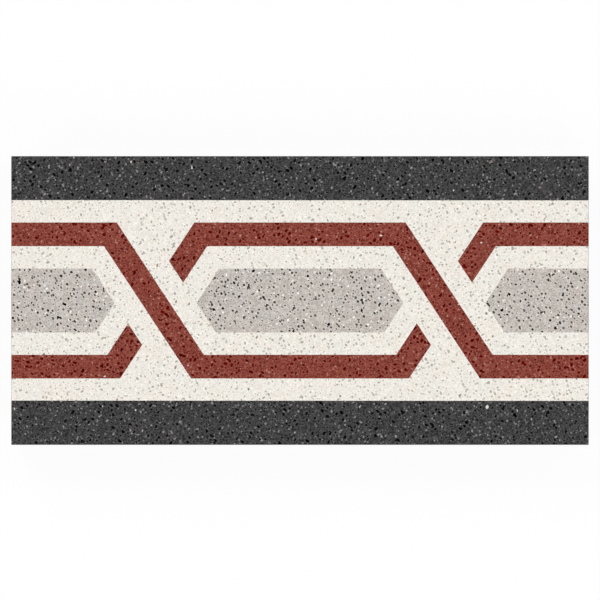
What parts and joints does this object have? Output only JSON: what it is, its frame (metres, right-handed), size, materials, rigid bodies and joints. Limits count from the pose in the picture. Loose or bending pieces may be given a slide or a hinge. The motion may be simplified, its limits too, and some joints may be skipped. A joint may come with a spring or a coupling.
{
  "type": "cement skirting tile",
  "caption": "Flat rectangular pressed cement tile whose terrazzo face carries a border of linked hexagons between plain dark bands, bedded upright at the foot of a wall as skirting.",
  "frame": {"origin": "Middle of the flat back, which is the middle of the bottom of the tile as it lies face up.", "axes": "+X along the tile and the wall, +Y up the face towards the top of the skirting, +Z out of the decorated face"},
  "size_m": [0.2, 0.1, 0.016],
  "materials": {
    "terrazzo_cement": "honed cement terrazzo"
  },
  "bodies": {
    "root": {"skirting_tile": "terrazzo_cement"}
  },
  "joints": []
}
